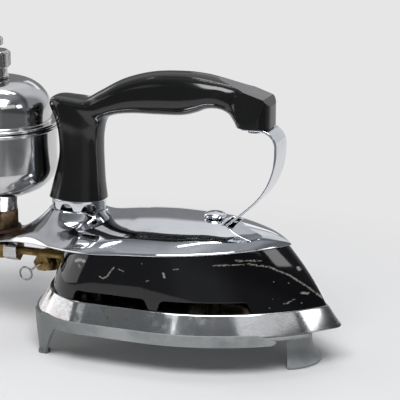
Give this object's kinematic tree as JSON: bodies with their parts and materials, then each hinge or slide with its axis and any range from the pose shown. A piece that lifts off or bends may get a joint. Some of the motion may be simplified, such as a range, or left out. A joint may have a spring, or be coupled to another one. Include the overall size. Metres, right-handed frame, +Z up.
{
  "type": "gasoline iron",
  "caption": "Gasoline pressing iron with a bevelled sole, black enamel body, plated cover, dark moulded handle and a rear fuel tank, resting on a grey sheet stand.",
  "frame": {"origin": "middle of the bounding box on the table under the stand's feet", "axes": "+X towards the tip of the sole plate, +Z up, +Y to the left seen from the tank"},
  "size_m": [0.2606, 0.1122, 0.1803],
  "materials": {
    "grey_paint": "matt grey paint, rubbed at the edges",
    "nickel": "satin nickel with fine wipe marks",
    "chrome_plate": "bright chrome plate",
    "tank_nickel": "bright nickel plate with small marks",
    "enamel": "gloss black vitreous enamel with pale chips",
    "bakelite": "polished black moulding",
    "steel": "plain steel",
    "brass": "dull brass",
    "aged_brass": "heat browned brass",
    "burner_iron": "rough casting",
    "fibre": "dark brown fibre",
    "seal_rubber": "plain"
  },
  "bodies": {
    "stand": {"stand": "grey_paint"},
    "iron": {"sole_plate": "nickel", "body_shell": "enamel", "spacers": "steel", "heat_baffle": "steel", "top_cover": "chrome_plate", "handle_collar": "chrome_plate", "handle": "bakelite", "handle_bolt": "steel", "bolt_washer": "steel", "handle_plug": "bakelite", "front_strap": "chrome_plate", "strap_screw": "steel", "front_stud": "steel", "stud_nut": "steel", "cap_nut": "chrome_plate", "burner": "burner_iron", "mixing_tube": "brass", "generator_tube": "brass", "gas_jet": "brass", "jet_block": "brass", "needle_gland": "brass", "outlet_nut": "nickel", "valve_body": "brass", "packing_nut": "brass", "tank_stem": "brass", "stem_washer": "fibre", "stem_nut": "aged_brass", "tank_nut": "nickel", "tank_lower": "tank_nickel", "tank_upper": "tank_nickel", "pickup_tube": "brass", "filler_neck": "nickel"},
    "cleaner": {"cleaner_lever": "steel"},
    "fuel_valve": {"valve_stem": "steel", "valve_knob": "bakelite", "knob_screw": "steel"},
    "seal": {"filler_seal": "seal_rubber"},
    "filler": {"filler_cap": "nickel"},
    "air_vent": {"air_screw": "nickel"}
  },
  "joints": [
    {"name": "iron_lift", "type": "slide", "parent": "stand", "child": "iron", "axis": [0, 0, 1], "range_m": [0, 0.12]},
    {"name": "valve_turn", "type": "hinge", "parent": "iron", "child": "fuel_valve", "pos_m": [-0.11317, 0, 0.049], "axis": [-1, 0, 0], "range_deg": [0, 450]},
    {"name": "cleaner_turn", "type": "hinge", "parent": "iron", "child": "cleaner", "pos_m": [-0.06217, -0.0033, 0.0405], "axis": [0, 1, 0], "range_deg": [-35, 35]},
    {"name": "filler_lift", "type": "slide", "parent": "iron", "child": "seal", "axis": [0, 0, 1], "range_m": [0, 0.03]},
    {"name": "filler_turn", "type": "hinge", "parent": "seal", "child": "filler", "pos_m": [-0.09067, 0, 0.1665], "axis": [0, 0, 1], "range_deg": [0, 1080]},
    {"name": "air_screw_turn", "type": "hinge", "parent": "filler", "child": "air_vent", "pos_m": [-0.09067, 0, 0.1775], "axis": [0, 0, 1], "range_deg": [0, 540]}
  ]
}
